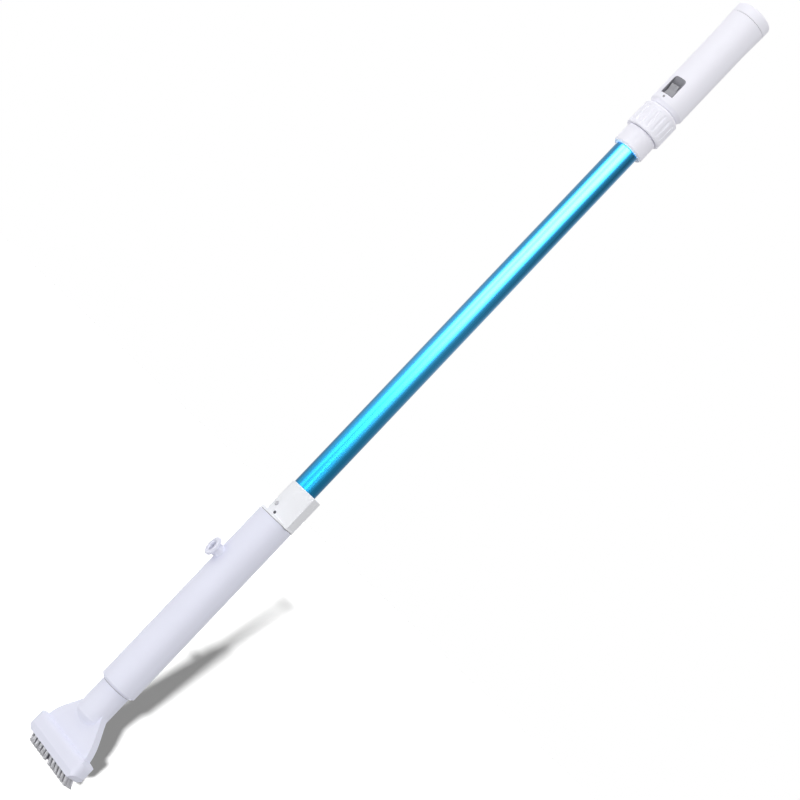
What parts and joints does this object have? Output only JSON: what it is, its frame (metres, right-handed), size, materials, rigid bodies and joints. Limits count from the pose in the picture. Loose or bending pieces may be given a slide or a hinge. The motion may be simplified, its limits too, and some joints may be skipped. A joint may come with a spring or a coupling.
{
  "type": "battery pool vacuum wand",
  "caption": "Hand-held pool cleaning wand: fan-shaped suction brush head, chamber sleeve with side outlet, anodised pole, union nut and battery grip with rocker switch.",
  "frame": {"origin": "on the pole's centre line, in the plane of the bristle tips", "axes": "+Z along the pole towards the grip, -Y the front of the head and the switch side, X along the brush"},
  "size_m": [0.096, 0.0569, 1.0805],
  "materials": {
    "head_plastic": "satin",
    "grip_plastic": "satin",
    "coupling_plastic": "gloss",
    "pole_blue": "anodised",
    "bristle": "satin",
    "switch_grey": "satin",
    "rocker_grey": "satin",
    "lens": "gloss",
    "rubber_black": "satin",
    "steel": "brushed",
    "spring_steel": "bright",
    "brass": "bright",
    "motor_steel": "zinc",
    "pump_black": "satin",
    "strainer_grey": "satin",
    "cell_wrap": "gloss",
    "carrier_black": "satin",
    "board_green": "satin",
    "cable_black": "satin",
    "button_dark": "satin"
  },
  "bodies": {
    "root": {"chamber_sleeve": "head_plastic", "outlet_spout": "head_plastic", "strainer": "strainer_grey", "pump_housing": "pump_black", "motor_pod": "pump_black", "motor_can": "motor_steel", "shaft_seal": "rubber_black", "shaft_bush": "brass", "coupling_block": "coupling_plastic", "coupling_screw": "steel", "cable_grommet": "rubber_black", "pole_tube": "pole_blue", "pole_ferrule": "grip_plastic", "union_gasket": "rubber_black", "pole_plug": "carrier_black", "power_cable": "cable_black", "grip_shell": "grip_plastic", "grip_socket": "carrier_black", "grip_leads": "cable_black", "indicator_lens": "lens", "switch_housing": "switch_grey", "rocker_pin": "steel", "switch_terminals": "brass", "contact_board": "board_green", "battery_carrier": "carrier_black", "cell_contacts": "brass", "cell_1": "cell_wrap", "cell_2": "cell_wrap", "cell_3": "cell_wrap", "cell_4": "cell_wrap", "cell_5": "cell_wrap", "cell_6": "cell_wrap", "cell_7": "cell_wrap", "cell_8": "cell_wrap"},
    "head_seal": {"neck_oring": "rubber_black"},
    "head": {"nozzle_body": "head_plastic", "lip_frame": "head_plastic", "brush_base": "bristle", "tufts_front": "bristle", "tufts_rear": "bristle", "tufts_ends": "bristle", "flap_pin": "steel"},
    "flap": {"flap_valve": "rubber_black"},
    "impeller": {"impeller": "strainer_grey", "motor_shaft": "steel"},
    "button": {"snap_button": "button_dark", "button_spring": "spring_steel"},
    "nut": {"union_nut": "grip_plastic"},
    "rocker": {"switch_rocker": "rocker_grey"},
    "cap_seal": {"cap_gasket": "rubber_black"},
    "cap": {"end_cap": "grip_plastic"}
  },
  "joints": [
    {"name": "head_pull", "type": "slide", "parent": "root", "child": "head_seal", "axis": [0, 0, -1], "range_m": [0, 0.028]},
    {"name": "head_turn", "type": "hinge", "parent": "head_seal", "child": "head", "pos_m": [0, 0, 0.112], "axis": [0, 0, 1], "range_deg": [-180, 180]},
    {"name": "flap_swing", "type": "hinge", "parent": "head", "child": "flap", "pos_m": [0, 0.0132, 0.1332], "axis": [-1, 0, 0], "range_deg": [0, 60]},
    {"name": "impeller_spin", "type": "hinge", "parent": "root", "child": "impeller", "pos_m": [0, 0, 0.276], "axis": [0, 0, 1], "continuous": true},
    {"name": "button_press", "type": "slide", "parent": "root", "child": "button", "axis": [0.1392, 0.9903, 0], "range_m": [0, 0.0028], "stiffness_N_per_m": 400, "springref_m": -0.001},
    {"name": "nut_turn", "type": "hinge", "parent": "root", "child": "nut", "pos_m": [0, 0, 0.9165], "axis": [0, 0, 1], "range_deg": [0, 720]},
    {"name": "rocker_tilt", "type": "hinge", "parent": "root", "child": "rocker", "pos_m": [0.00175, -0.01248, 0.9556], "axis": [0.9903, 0.1392, 0], "range_deg": [-18, 0]},
    {"name": "cap_lift", "type": "slide", "parent": "root", "child": "cap_seal", "axis": [0, 0, 1], "range_m": [0, 0.0045]},
    {"name": "cap_turn", "type": "hinge", "parent": "cap_seal", "child": "cap", "pos_m": [0, 0, 1.074], "axis": [0, 0, 1], "range_deg": [0, 540]}
  ],
  "couplings": [
    {"joint": "cap_turn", "follows": "cap_lift", "rad_per_m": 2094.4}
  ]
}
